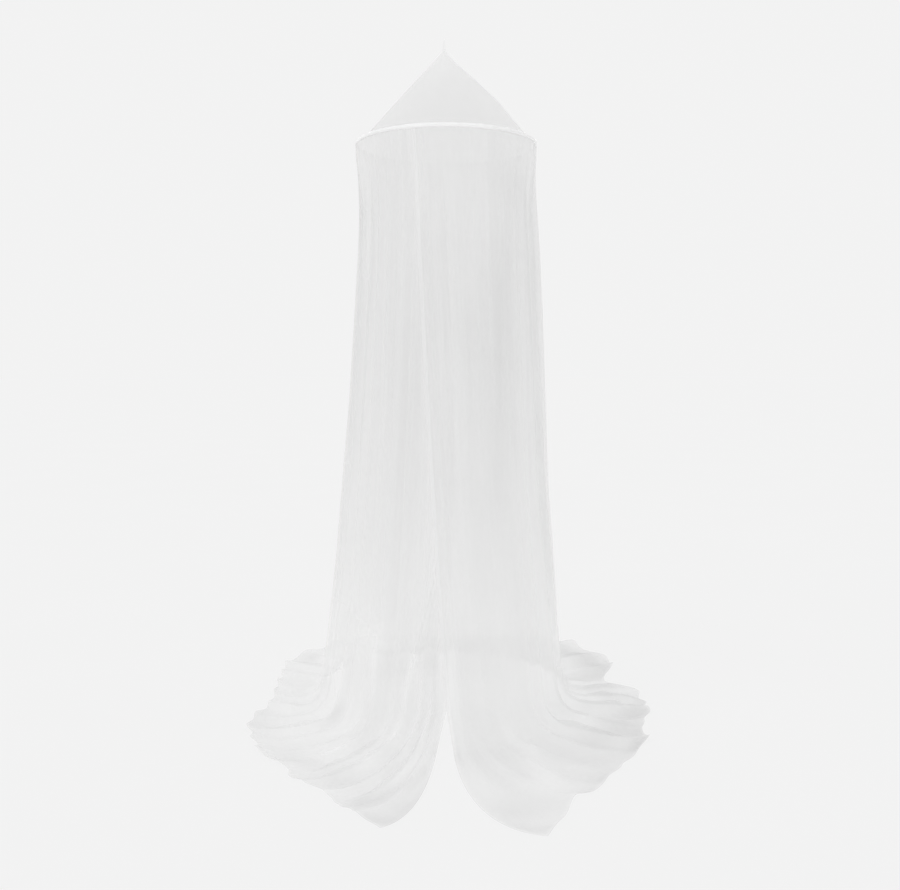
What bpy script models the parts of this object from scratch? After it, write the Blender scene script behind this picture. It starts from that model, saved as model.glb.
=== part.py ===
"""Mosquito net canopy with hoop, as it hangs: a tape loop, a cone of net, a round hoop in its
casing, and one long net that laps over itself at the front and lies in folds on the floor.

Metres, +Z up. The origin is the point where a hook bears on the loop, and the front is -Y.
Heights in the tables are above the floor; azimuths are in degrees from the front, and grow
towards +X. The net is one sheet: its table of folds starts at the front edge of the left panel,
goes round by the left side and the back, and ends at the front edge of the right panel.
"""

import math

import bmesh
import bpy
from mathutils import Matrix, Vector

# Heights above the floor
APEX_HEIGHT = 2.173
HOOP_HEIGHT = 1.871
LOOP_RISE = 0.040  # from the tip of the crown to the point that hangs on the hook
HANG_HEIGHT = APEX_HEIGHT + LOOP_RISE
HOOP_SHIFT = 0.0066  # the hoop hangs this far to +X of the hook

# Cloth and hoop
SHEET = 0.002
SEAM_GAP = 0.0005
HOOP_RADIUS = 0.2935
HOOP_TUBE_RADIUS = 0.0035
CASING_RADIUS = 0.0055  # middle of the casing's cloth, round the hoop's tube
CASING_LEG = 0.0065
HOOP_SEGMENTS = 48
HOOP_SIDES = 10
CASING_ARC_STEPS = 4

# Hanging loop, a flat tape
TAPE_WIDTH = 0.008
TAPE = 0.0015
LOOP_EYE_RADIUS = 0.005
LOOP_EYE_END = 0.0003  # half the width of the eye's lower end
LOOP_FOOT = 0.008  # the tape is sewn shut this far up from the crown's tip
LOOP_ARC_STEPS = 8

# Crown, from its tip down: drop below the apex, radius on the left (-X) and on the right (+X)
CROWN_ROWS = (
    # drop, left, right
    (0.000, 0.005, 0.005),
    (0.030, 0.031, 0.029),
    (0.095, 0.094, 0.102),
    (0.175, 0.168, 0.183),
    (0.245, 0.232, 0.238),
    (0.284, 0.268, 0.270),
    (0.2945, 0.2875, 0.2875),
)
CROWN_SEGMENTS = 36

# Outline of the hanging net, at the crests of its folds: height, radius at the left and right
COLUMN_ROWS = (
    # height, left, right
    (1.864, 0.299, 0.299),
    (1.790, 0.291, 0.294),
    (1.570, 0.296, 0.309),
    (1.300, 0.312, 0.321),
    (1.030, 0.331, 0.333),
    (0.760, 0.357, 0.343),
    (0.480, 0.384, 0.372),
    (0.200, 0.421, 0.398),
    (0.000, 0.450, 0.425),
)
NET_HEIGHTS = (1.864, 1.780, 1.620, 1.200, 0.700, 0.300)
FOOT_BEND = 0.10  # the sheet leaves the column this high, and meets the floor this far out
BEND_STEPS = 2
FLOOR_STEPS = 4
KNEE_SHARE = 0.88  # a fold on the floor heads straight out for this share of its reach, then turns

# Folds of the net, crest by crest: azimuth at the foot, the place of its end on the floor,
# and how far the crest stands out of the troughs beside it, hanging and on the floor
FOLDS = (
    # foot_azimuth, hem_x, hem_y, hanging_depth, floor_depth
    (-3.0, -0.162, -0.947, 0.003, 0.003),
    (-6.0, -0.225, -0.880, 0.007, 0.020),
    (-9.5, -0.285, -0.815, 0.008, 0.032),
    (-13.5, -0.332, -0.758, 0.008, 0.026),
    (-18.0, -0.385, -0.705, 0.010, 0.030),
    (-24.0, -0.446, -0.652, 0.022, 0.045),
    (-30.0, -0.490, -0.575, 0.018, 0.028),
    (-37.0, -0.559, -0.496, 0.026, 0.042),
    (-45.0, -0.598, -0.387, 0.018, 0.028),
    (-54.0, -0.640, -0.290, 0.028, 0.038),
    (-64.0, -0.640, -0.180, 0.022, 0.024),
    (-74.0, -0.600, -0.090, 0.026, 0.026),
    (-85.0, -0.605, 0.020, 0.020, 0.020),
    (-96.0, -0.614, 0.120, 0.026, 0.024),
    (-107.0, -0.619, 0.235, 0.020, 0.022),
    (-119.0, -0.615, 0.355, 0.028, 0.032),
    (-131.0, -0.580, 0.480, 0.024, 0.032),
    (-144.0, -0.480, 0.575, 0.034, 0.040),
    (-157.0, -0.335, 0.650, 0.026, 0.032),
    (-171.0, -0.145, 0.695, 0.036, 0.040),
    (-185.0, 0.060, 0.710, 0.028, 0.034),
    (-198.0, 0.255, 0.695, 0.036, 0.040),
    (-210.0, 0.420, 0.655, 0.028, 0.044),
    (-222.0, 0.550, 0.560, 0.034, 0.042),
    (-234.0, 0.619, 0.412, 0.026, 0.050),
    (-245.0, 0.632, 0.310, 0.026, 0.026),
    (-256.0, 0.572, 0.135, 0.022, 0.020),
    (-267.0, 0.672, 0.057, 0.030, 0.036),
    (-278.0, 0.684, -0.052, 0.024, 0.040),
    (-289.0, 0.677, -0.158, 0.030, 0.040),
    (-300.0, 0.634, -0.266, 0.020, 0.026),
    (-311.0, 0.630, -0.388, 0.024, 0.030),
    (-321.0, 0.560, -0.505, 0.014, 0.016),
    (-331.0, 0.480, -0.629, 0.016, 0.020),
    (-340.0, 0.416, -0.738, 0.008, 0.012),
    (-347.0, 0.354, -0.777, 0.008, 0.014),
    (-352.5, 0.307, -0.886, 0.005, 0.006),
    (-357.4, 0.254, -0.987, 0.003, 0.003),
)
COLUMNS_A_FOLD = 4
HEM_SCALLOP = 0.014  # the furthest that a trough's end lies inside the crests' ends
SCALLOP_SHARE = 0.45  # how far it lies inside them, against the fold's depth on the floor
HEM_DEPTH_SHARE = 0.6  # depth of the folds at the hem, against their depth on the floor
FOLD_START = 0.25  # the folds reach their depth this far below the hoop
FLOOR_CLEARANCE = 0.0003

# Lap at the front: the left panel's edge is inside, the right panel's edge outside
LAP_LEFT_TURN = 10.0  # degrees from foot to hoop, at each panel's edge
LAP_RIGHT_TURN = -22.3
LAP_TURN_SPREAD = 60.0  # the turn fades out this far round
SPLAY_LEFT = 3.0  # degrees that each edge is drawn aside just over the floor
SPLAY_RIGHT = -1.0
SPLAY_HEIGHT = 0.10
SPLAY_SPREAD = 40.0
LAP_INSET = 0.020  # how far each edge stands inside or outside the rest of the net
LAP_OUTSET = 0.003
LAP_SPREAD = 45.0

WHITE_NET = (0.90, 0.90, 0.90)
WHITE_TAPE = (0.94, 0.94, 0.94)
WHITE_HOOP = (0.86, 0.86, 0.85)


def smooth_step(value):
    """0 below 0, 1 above 1, and an even S between them."""
    clipped = min(max(value, 0.0), 1.0)
    return clipped * clipped * (3.0 - 2.0 * clipped)


def between(rows, value):
    """The columns after the first of a table, interpolated at a value of its first column."""
    ordered = sorted(rows)
    for low, high in zip(ordered, ordered[1:]):
        if value <= high[0]:
            share = max(0.0, (value - low[0]) / (high[0] - low[0]))
            return [a + (b - a) * share for a, b in zip(low[1:], high[1:])]
    return list(ordered[-1][1:])


def fold_at(place):
    """The columns of FOLDS at a place along it, on a smooth curve through its rows."""
    last = len(FOLDS) - 1
    index = min(int(place), last - 1)
    share = place - index
    before, start, end, after = (FOLDS[min(max(index + k, 0), last)] for k in (-1, 0, 1, 2))
    values = []
    for a, b, c, d in zip(before, start, end, after):
        slope, curve, twist = c - a, 2 * a - 5 * b + 4 * c - d, 3 * (b - c) + d - a
        values.append(b + 0.5 * share * (slope + share * (curve + share * twist)))
    return values


def outward(azimuth):
    """The level unit vector that points out from the axis at this azimuth."""
    angle = math.radians(azimuth)
    return Vector((math.sin(angle), -math.cos(angle), 0.0))


def placed(x, y, height):
    """A point measured from the hoop's axis and the floor, in the object's own frame."""
    return Vector((x + HOOP_SHIFT, y, height - HANG_HEIGHT))


def side_radius(left, right, azimuth):
    """The radius at this azimuth of an outline with these radii on its left and right."""
    return 0.5 * (left + right) + 0.5 * (right - left) * math.sin(math.radians(azimuth))


def edge_shares(foot_azimuth, spread):
    """How near the cloth is to the left panel's front edge, and to the right panel's: 1 at it."""
    left = 1.0 - smooth_step(-foot_azimuth / spread)
    right = 1.0 - smooth_step((foot_azimuth + 360.0) / spread)
    return left, right


def hanging_point(place, height):
    """(point, outward) of the net's troughs at this height, between the hoop and the foot."""
    foot_azimuth, _, _, depth, _ = fold_at(place)
    left, right = edge_shares(foot_azimuth, LAP_TURN_SPREAD)
    turn = (LAP_LEFT_TURN * left + LAP_RIGHT_TURN * right) * height / HOOP_HEIGHT
    left, right = edge_shares(foot_azimuth, SPLAY_SPREAD)
    splay = (SPLAY_LEFT * left + SPLAY_RIGHT * right) * smooth_step(height / SPLAY_HEIGHT)
    out = outward(foot_azimuth + turn + splay)
    left, right = edge_shares(foot_azimuth, LAP_SPREAD)
    below_hoop = LAP_OUTSET * right - LAP_INSET * left - depth
    at_hoop = -2.0 * CASING_RADIUS * left
    start = smooth_step((COLUMN_ROWS[0][0] - height) / FOLD_START)
    radius = side_radius(*between(COLUMN_ROWS, height), foot_azimuth)
    radius += start * below_hoop + (1.0 - start) * at_hoop
    return placed(*(out * radius).xy, height), out


def floor_point(place, share, scallop):
    """A point of the net's troughs on the floor, from the foot (0) to the hem (1)."""
    foot_azimuth, hem_x, hem_y, _, _ = fold_at(place)
    foot, out = hanging_point(place, 0.0)
    foot.z = placed(0.0, 0.0, 0.5 * SHEET + FLOOR_CLEARANCE).z
    hem = placed(hem_x, hem_y, 0.5 * SHEET + FLOOR_CLEARANCE)
    reach = (hem - foot).length
    hem = foot + (hem - foot) * (1.0 - scallop / reach)
    knee = foot + out * KNEE_SHARE * reach
    return foot * (1.0 - share) ** 2 + knee * 2.0 * share * (1.0 - share) + hem * share**2


def net_column(place):
    """The points of the net from the hoop to the hem at one place along its width."""
    foot_azimuth, hem_x, hem_y, hanging_depth, floor_depth = fold_at(place)
    crest = 0.5 + 0.5 * math.cos(math.tau * place)
    scallop = min(HEM_SCALLOP, SCALLOP_SHARE * floor_depth) * (1.0 - crest)
    points = []
    for height in NET_HEIGHTS:
        point, out = hanging_point(place, height)
        start = smooth_step((COLUMN_ROWS[0][0] - height) / FOLD_START)
        points.append(point + out * crest * hanging_depth * start)
    top, out = hanging_point(place, FOOT_BEND)
    foot = floor_point(place, 0.0, scallop)
    reach = (placed(hem_x, hem_y, 0.0) - foot).length
    bend_share = FOOT_BEND / (2.0 * KNEE_SHARE * reach)
    toe = floor_point(place, bend_share, scallop)
    up = Vector((0.0, 0.0, 1.0))
    for step in range(BEND_STEPS + 1):
        share = step / BEND_STEPS
        point = top * (1.0 - share) ** 2 + foot * 2.0 * share * (1.0 - share) + toe * share**2
        normal = out * math.cos(0.5 * math.pi * share) + up * math.sin(0.5 * math.pi * share)
        depth = hanging_depth + (floor_depth - hanging_depth) * share
        points.append(point + normal * crest * depth)
    for step in range(1, FLOOR_STEPS + 1):
        share = step / FLOOR_STEPS
        point = floor_point(place, bend_share + (1.0 - bend_share) * share, scallop)
        depth = floor_depth * (1.0 - (1.0 - HEM_DEPTH_SHARE) * share)
        points.append(point + up * crest * depth)
    return points


def plain_material(name, colour, roughness):
    """A Principled material with one colour."""
    material = bpy.data.materials.new(name)
    material.use_nodes = True
    shader = material.node_tree.nodes["Principled BSDF"]
    shader.inputs["Base Color"].default_value = (*colour, 1.0)
    shader.inputs["Roughness"].default_value = roughness
    shader.inputs["Metallic"].default_value = 0.0
    return material


def add_object(name, data, collection, material):
    """Makes the object that holds this mesh or curve, in the collection."""
    item = bpy.data.objects.new(name, data)
    data.materials.append(material)
    collection.objects.link(item)
    return item


def lofted_mesh(name, columns, cone):
    """A mesh of quads across columns of points. A cone is joined round and closed at its tip."""
    shape = bmesh.new()
    rows = [[shape.verts.new(point) for point in column] for column in columns]
    pairs = list(zip(rows, rows[1:]))
    if cone:
        pairs.append((rows[-1], rows[0]))
        shape.faces.new([row[0] for row in rows])
    for near, far in pairs:
        for index in range(len(near) - 1):
            shape.faces.new((near[index], near[index + 1], far[index + 1], far[index]))
    bmesh.ops.recalc_face_normals(shape, faces=shape.faces)
    mesh = bpy.data.meshes.new(name)
    shape.to_mesh(mesh)
    shape.free()
    mesh.shade_smooth()
    return mesh


def thicken(item, thickness):
    """Gives a sheet its thickness, half on each side."""
    solid = item.modifiers.new("Cloth", "SOLIDIFY")
    solid.thickness = thickness
    solid.offset = 0.0


def make_net(collection, material):
    """The one sheet from the casing to the hem, with its lap, its folds and its feet."""
    count = (len(FOLDS) - 1) * COLUMNS_A_FOLD
    columns = [net_column(step / COLUMNS_A_FOLD) for step in range(count + 1)]
    net = add_object("net", lofted_mesh("net", columns, cone=False), collection, material)
    thicken(net, SHEET)
    return net


def make_crown(collection, material):
    """The cone of net over the hoop, closed at its tip."""
    columns = []
    for step in range(CROWN_SEGMENTS):
        azimuth = 360.0 * step / CROWN_SEGMENTS
        column = []
        for drop, left, right in CROWN_ROWS:
            share = drop / CROWN_ROWS[-1][0]
            flat = outward(azimuth) * side_radius(left, right, azimuth)
            point = placed(flat.x - HOOP_SHIFT * (1.0 - share), flat.y, APEX_HEIGHT - drop)
            column.append(point)
        columns.append(column)
    mesh = lofted_mesh("crown", columns, cone=True)
    crown = add_object("crown", mesh, collection, material)
    thicken(crown, SHEET)
    return crown


def make_hoop(collection, material):
    """The plain round ring inside the casing."""
    bpy.ops.mesh.primitive_torus_add(
        major_radius=HOOP_RADIUS,
        minor_radius=HOOP_TUBE_RADIUS,
        major_segments=HOOP_SEGMENTS,
        minor_segments=HOOP_SIDES,
        location=placed(0.0, 0.0, HOOP_HEIGHT),
    )
    hoop = bpy.context.active_object
    hoop.name = "hoop"
    hoop.data.materials.append(material)
    hoop.data.shade_smooth()
    for owner in list(hoop.users_collection):
        owner.objects.unlink(hoop)
    collection.objects.link(hoop)
    return hoop


def casing_profile():
    """The casing's section from its inner leg over the hoop to its outer leg, beside +X."""
    profile = [Vector((HOOP_RADIUS - CASING_RADIUS, 0.0, SHEET / 2 - CASING_LEG))]
    for step in range(CASING_ARC_STEPS + 1):
        angle = math.pi * (1.0 - step / CASING_ARC_STEPS)
        across, up = CASING_RADIUS * math.cos(angle), CASING_RADIUS * math.sin(angle)
        profile.append(Vector((HOOP_RADIUS + across, 0.0, up)))
    profile.append(Vector((HOOP_RADIUS + CASING_RADIUS, 0.0, SHEET / 2 - CASING_LEG)))
    return profile


def make_casing(collection, material):
    """The tape folded over the hoop, open below where the net is sewn in."""
    mesh = bpy.data.meshes.new("hoop_casing")
    profile = casing_profile()
    mesh.from_pydata(profile, [(k, k + 1) for k in range(len(profile) - 1)], [])
    casing = add_object("hoop_casing", mesh, collection, material)
    casing.location = placed(0.0, 0.0, HOOP_HEIGHT)
    turn = casing.modifiers.new("Ring", "SCREW")
    turn.steps = HOOP_SEGMENTS
    turn.render_steps = HOOP_SEGMENTS
    turn.use_merge_vertices = True
    turn.merge_threshold = 0.0001
    thicken(casing, SHEET)
    return casing


def loop_outline(radius, foot_half_width, foot):
    """A drop-shaped outline: an arc over the hook, and two sides that meet near the foot."""
    outline = []
    for step in range(LOOP_ARC_STEPS + 1):
        angle = math.pi * step / LOOP_ARC_STEPS
        outline.append((radius * math.cos(angle), -LOOP_EYE_RADIUS + radius * math.sin(angle)))
    for height in foot:
        outline.append((-foot_half_width, height))
    for height in reversed(foot):
        outline.append((foot_half_width, height))
    return outline


def make_loop(collection, material):
    """The flat tape loop: its eye runs along X, and its foot stands on the tip of the crown."""
    foot_top = LOOP_FOOT - LOOP_RISE
    foot_base = 0.5 * SHEET + SEAM_GAP - LOOP_RISE
    outer = loop_outline(LOOP_EYE_RADIUS + TAPE, TAPE, (foot_top, foot_base))
    eye = loop_outline(LOOP_EYE_RADIUS, LOOP_EYE_END, (foot_top + TAPE,))
    curve = bpy.data.curves.new("hanging_loop", "CURVE")
    curve.dimensions = "2D"
    curve.fill_mode = "BOTH"
    curve.extrude = 0.5 * TAPE_WIDTH
    for outline in (outer, eye):
        spline = curve.splines.new("POLY")
        spline.points.add(len(outline) - 1)
        spline.use_cyclic_u = True
        for point, (x, y) in zip(spline.points, outline):
            point.co = (x, y, 0.0, 1.0)
    loop = add_object("hanging_loop", curve, collection, material)
    loop.matrix_world = Matrix(((0, 0, 1, 0), (1, 0, 0, 0), (0, 1, 0, 0), (0, 0, 0, 1)))
    return loop


def clear_scene():
    """Removes what the scene holds."""
    for item in list(bpy.data.objects):
        bpy.data.objects.remove(item, do_unlink=True)


def main():
    clear_scene()
    collection = bpy.data.collections.new("mosquito_net_canopy")
    bpy.context.scene.collection.children.link(collection)
    net_cloth = plain_material("net_cloth", WHITE_NET, 0.9)
    tape = plain_material("tape", WHITE_TAPE, 0.85)
    hoop_plastic = plain_material("hoop_plastic", WHITE_HOOP, 0.45)
    make_loop(collection, tape)
    make_crown(collection, net_cloth)
    make_hoop(collection, hoop_plastic)
    make_casing(collection, tape)
    make_net(collection, net_cloth)


main()
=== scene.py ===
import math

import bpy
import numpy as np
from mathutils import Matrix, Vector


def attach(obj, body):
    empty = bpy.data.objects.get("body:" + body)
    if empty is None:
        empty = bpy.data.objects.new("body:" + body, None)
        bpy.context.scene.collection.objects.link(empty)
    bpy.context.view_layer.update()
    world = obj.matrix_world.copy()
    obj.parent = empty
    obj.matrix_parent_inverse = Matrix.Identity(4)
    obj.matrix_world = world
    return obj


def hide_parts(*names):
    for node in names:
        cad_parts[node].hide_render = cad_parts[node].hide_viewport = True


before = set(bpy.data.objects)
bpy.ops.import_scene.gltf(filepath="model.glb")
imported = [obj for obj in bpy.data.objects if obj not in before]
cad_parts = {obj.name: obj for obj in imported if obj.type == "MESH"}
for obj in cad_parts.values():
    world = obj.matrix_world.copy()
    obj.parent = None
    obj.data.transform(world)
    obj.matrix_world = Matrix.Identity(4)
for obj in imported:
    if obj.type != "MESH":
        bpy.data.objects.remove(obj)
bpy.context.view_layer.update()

# Looks of the mosquito net canopy: a fine sheer net on the solid net's folds, the cone over the
# hoop, the hoop's casing and the tape loop, with their cloth materials, on a plain pale floor.
#
# Metres, +Z up, the front is -Y, and the origin is where the hook bears on the loop. Heights
# are above the floor, and azimuths are in degrees from the front, growing towards +X. Points
# are built round the hoop's axis with the floor at 0, and grid_mesh puts them in place.

# Heights above the floor, and the hoop, as the solids have them
APEX_HEIGHT = 2.173
HOOP_HEIGHT = 1.871
HANG_HEIGHT = 2.213
HOOP_SHIFT = 0.0066
HOOP_RADIUS = 0.2935
CASING_RADIUS = 0.0055
NET_TOP = 1.864

# Crown, from its tip down: drop below the apex, radius on the left and on the right
CROWN_ROWS = np.array((
    (0.000, 0.005, 0.005),
    (0.030, 0.031, 0.029),
    (0.095, 0.094, 0.102),
    (0.175, 0.168, 0.183),
    (0.245, 0.232, 0.238),
    (0.284, 0.268, 0.270),
    (0.2945, 0.2875, 0.2875),
))

# Outline of the hanging net at the crests of its folds: height, radius at the left and right
COLUMN_ROWS = np.array((
    (0.000, 0.450, 0.425),
    (0.200, 0.421, 0.398),
    (0.480, 0.384, 0.372),
    (0.760, 0.357, 0.343),
    (1.030, 0.331, 0.333),
    (1.300, 0.312, 0.321),
    (1.570, 0.296, 0.309),
    (1.790, 0.291, 0.294),
    (1.864, 0.299, 0.299),
))

# Main folds, crest by crest: azimuth at the foot, x and y of the end on the floor, and depth
# of the fold hanging and on the floor
FOLDS = np.array((
    (-3.0, -0.162, -0.947, 0.003, 0.003),
    (-6.0, -0.225, -0.880, 0.007, 0.020),
    (-9.5, -0.285, -0.815, 0.008, 0.032),
    (-13.5, -0.332, -0.758, 0.008, 0.026),
    (-18.0, -0.385, -0.705, 0.010, 0.030),
    (-24.0, -0.446, -0.652, 0.022, 0.045),
    (-30.0, -0.490, -0.575, 0.018, 0.028),
    (-37.0, -0.559, -0.496, 0.026, 0.042),
    (-45.0, -0.598, -0.387, 0.018, 0.028),
    (-54.0, -0.640, -0.290, 0.028, 0.038),
    (-64.0, -0.640, -0.180, 0.022, 0.024),
    (-74.0, -0.600, -0.090, 0.026, 0.026),
    (-85.0, -0.605, 0.020, 0.020, 0.020),
    (-96.0, -0.614, 0.120, 0.026, 0.024),
    (-107.0, -0.619, 0.235, 0.020, 0.022),
    (-119.0, -0.615, 0.355, 0.028, 0.032),
    (-131.0, -0.580, 0.480, 0.024, 0.032),
    (-144.0, -0.480, 0.575, 0.034, 0.040),
    (-157.0, -0.335, 0.650, 0.026, 0.032),
    (-171.0, -0.145, 0.695, 0.036, 0.040),
    (-185.0, 0.060, 0.710, 0.028, 0.034),
    (-198.0, 0.255, 0.695, 0.036, 0.040),
    (-210.0, 0.420, 0.655, 0.028, 0.044),
    (-222.0, 0.550, 0.560, 0.034, 0.042),
    (-234.0, 0.619, 0.412, 0.026, 0.050),
    (-245.0, 0.632, 0.310, 0.026, 0.026),
    (-256.0, 0.572, 0.135, 0.022, 0.020),
    (-267.0, 0.672, 0.057, 0.030, 0.036),
    (-278.0, 0.684, -0.052, 0.024, 0.040),
    (-289.0, 0.677, -0.158, 0.030, 0.040),
    (-300.0, 0.634, -0.266, 0.020, 0.026),
    (-311.0, 0.630, -0.388, 0.024, 0.030),
    (-321.0, 0.560, -0.505, 0.014, 0.016),
    (-331.0, 0.480, -0.629, 0.016, 0.020),
    (-340.0, 0.416, -0.738, 0.008, 0.012),
    (-347.0, 0.354, -0.777, 0.008, 0.014),
    (-352.5, 0.307, -0.886, 0.005, 0.006),
    (-357.4, 0.254, -0.987, 0.003, 0.003),
))
LAST_FOLD = len(FOLDS) - 1
HEM_SCALLOP = 0.014  # the furthest that a trough's end lies inside the crests' ends
SCALLOP_SHARE = 0.45  # how far it lies inside them, against the fold's depth on the floor
HEM_DEPTH_SHARE = 0.6  # depth of a fold at the hem, against its depth on the floor
FOLD_START = 0.25  # height under the hoop over which the folds grow to their depth
FOOT_BEND = 0.10  # height over which the hanging cloth bends to lie on the floor
KNEE_SHARE = 0.88  # how far straight out the curve on the floor aims, in shares of its reach

# The two panels' front edges, left and right, in degrees that fade out over a spread: how far
# they turn from the foot to the hoop and just over the floor, and which one lies inside
LAP_LEFT_TURN, LAP_RIGHT_TURN, LAP_TURN_SPREAD = 10.0, -22.3, 60.0
SPLAY_LEFT, SPLAY_RIGHT, SPLAY_SPREAD, SPLAY_HEIGHT = 3.0, -1.0, 40.0, 0.10
LAP_INSET, LAP_OUTSET, LAP_SPREAD = 0.020, 0.003, 45.0

# The outline's corners are rounded, but not at the top, where the net meets the casing
ROUNDING = (-0.05, -0.02, 0.02, 0.05)
SHARP_FROM, SHARP_RISE = 1.80, 0.06

# Mesh of the net
COLUMNS_A_FOLD = 20
HANGING_ROWS, BEND_ROWS, FLOOR_ROWS = 60, 14, 52
LYING_ROWS = BEND_ROWS + FLOOR_ROWS
HOOP_CROWDING, HEM_CROWDING = 1.15, 1.12  # over 1, rows lie closer near the hoop and the hem
EARLY_ROWS = 6.0  # rows above the bend where the cloth starts to behave as on the floor
FLOOR_LIFT = 0.0016  # the cloth lies at least this far above the floor
SETTLE = 0.006  # how softly the relief comes to rest on the floor
EASE = 0.9  # gathers and creases fade in over this many folds from each side hem

# Depths of the folds, in shares of those in the table, and less where the front hangs
MEAN_DEPTH, LEAST_DEPTH, MOST_DEPTH = 0.78, 0.25, 1.15
FRONT_SLACK, FRONT_HALF_WIDTH, FRONT_FADE = 0.5, 25.0, 45.0

# Random reliefs, each in layers: height, and how many bumps across the cloth and down it.
# The height is in folds for the drift, in shares for the depth and the streaks, else metres.
FOLD_DRIFT = ((0.16, 30, 4), (0.05, 60, 9))
RAGGED_HEM = ((0.004, 60, 4),)
RAGGED_TOP = ((0.03, 90, 3),)
UNEVEN_DEPTH = ((0.30, 34, 5),)
PLEATS = ((0.0024, 80, 5), (0.0016, 165, 7), (0.0004, 330, 12))
CRUMPLES = ((0.0026, 84, 18), (0.0010, 170, 44))
STREAKS = ((0.8, 150, 6),)
CROWN_PUCKERS = ((0.0010, 60, 5),)
CASING_PUCKERS = ((0.0004, 190, 5),)

# Gathers: the drop over which they start, their share low down and the heights where it
# grows to 1, and the shares that the smooth top, the floor and the lap take off
PLEAT_START = 0.04
LOW_PLEATS, PLEATS_FROM, PLEATS_RISE = 0.22, 0.9, 0.8
TOP_CALM, FLOOR_CALM = 0.95, 0.5
LAP_CALM, LAP_CALM_SPREAD = 0.6, 26.0

# Top of the front, where the net hangs smooth
SMOOTH_FROM, SMOOTH_RISE = 1.60, 0.10
SMOOTH_HALF_WIDTH = 8.0  # degrees, and again as many to fade

# Crumples on the floor: less of them near the hem, and from this fold on at the right
HEM_CALM_REACH, LEAST_CRUMPLE = 0.12, 0.35
RIGHT_FOLD, RIGHT_FADE, RIGHT_CALM = 26.0, 6.0, 0.5

# Hems, and the flat sizes of the sheets
SIDE_HEM, SIDE_HEM_SOFTNESS = 0.011, 0.6
BOTTOM_HEM, BOTTOM_HEM_SOFTNESS = 0.008, 0.8  # the softness is a share of the width
INNER_HEM_TOP, INNER_HEM_FADE = 0.06, 0.10  # the inner panel's side hem shows only below this
LEFT_HEM_FADE, RIGHT_HEM_FADE = 0.95, 0.55  # the share of a side hem that fades on the floor

# Density of the cloth, where 1 is a plain layer; the same values darken the net's grey as painted
# shade where it is denser and lighten it as painted light where it is thinner
UPPER_DENSITY, UPPER_FROM, UPPER_RISE = 0.07, 0.6, 0.4
STREAK_DENSITY, LOW_STREAKS = 0.08, 0.4
# Painted light on the creases: along a ridge the net is thinner and lighter as a painted highlight,
# along a trough denser and darker as painted shade
CREASE_LIGHT_AND_SHADE = 17.0  # for each metre of a crease's height
LEAST_DENSITY = 0.2

# The inner panel looks thinner behind the outer one, by these shares low down and at the top
INNER_LOW, INNER_HIGH, INNER_HIGH_FROM, INNER_HIGH_RISE = 0.30, 0.80, 1.45, 0.30
INNER_EDGE, INNER_REACH = 10.0, 90.0  # degrees over which that starts, and fades out

# Crown
CROWN_GRID = (192, 48)  # columns and rows
RIM_CROWDING = 0.9  # under 1, rows lie closer near the rim
CROWN_ROUNDING = (-0.008, 0.0, 0.008)
PUCKER_FROM, PUCKER_RISE = 0.75, 0.2  # in shares of the way down
CROWN_MEAN_RADIUS = 0.18
CROWN_HEM = 0.006
TIP_THINNING, TIP_SHARE, SIDE_THINNING = 0.3, 0.35, 0.15
SEAM_COLUMNS = 8.0  # a ring's random relief fades in over these, on both sides of its seam

# Casing
CASING_GRID = (384, 24)  # columns along the hoop, and points round the tube
CASING_OUTSET = 0.0008  # how far it lies outside the casing's radius
LOWER_HALF_DEPTH = 1.18  # the lower half is deeper by this factor, for the seam allowances
# Painted shade on the casing away from the front, where the net gathers over it: how much darker, the
# half width in degrees of the front that stays light, and the degrees over which the shade grows
CASING_SIDE_SHADE, UNSHADED_FRONT, SIDE_SHADE_RISE = 0.07, 12.0, 30.0

# Loop: its tape, the eye for the hook, and the foot that is sewn to the crown's tip
TAPE_WIDTH, TAPE_THICKNESS, TAPE_COLUMNS = 0.0076, 0.0009, 9
EYE_RADIUS, EYE_DROP, EYE_STEPS = 0.00575, 0.005, 24
LOOP_DROP, NECK_STEPS = 0.038, 10
LOOP_FOOT, FOOT_STEPS = 0.009, 4

# Main creases of the net: the fold beside which each one starts and ends, its
# start and end along the cloth from the hoop, its half width in folds, and its height
CREASES = (
    (1.2, 4.4, 1.10, 1.80, 0.26, 0.020),
    (4.4, 4.2, 1.78, 2.24, 0.28, 0.022),
    (6.7, 6.2, 1.50, 2.14, 0.32, 0.020),
    (9.3, 8.9, 1.62, 2.05, 0.36, 0.018),
    (2.0, 1.8, 1.70, 2.30, 0.22, 0.018),
    (3.1, 2.9, 1.60, 2.26, 0.20, 0.012),
    (1.4, 1.5, 2.22, 2.36, 0.28, -0.012),
    (33.1, 34.3, 1.90, 2.24, 0.45, 0.010),
    (35.7, 35.4, 1.80, 2.20, 0.35, -0.006),
    (28.4, 28.8, 1.95, 2.20, 0.22, 0.016),
    (29.7, 30.0, 1.92, 2.20, 0.22, -0.012),
    (30.9, 31.4, 1.90, 2.20, 0.24, 0.014),
    (22.3, 23.6, 0.15, 1.10, 0.50, -0.010),
    (31.6, 32.6, 0.20, 1.20, 0.45, -0.010),
)

# How a crease starts and fades out, in shares of its length
CREASE_START, CREASE_END, CREASE_FADE = 0.25, 1.12, 0.3
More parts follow.
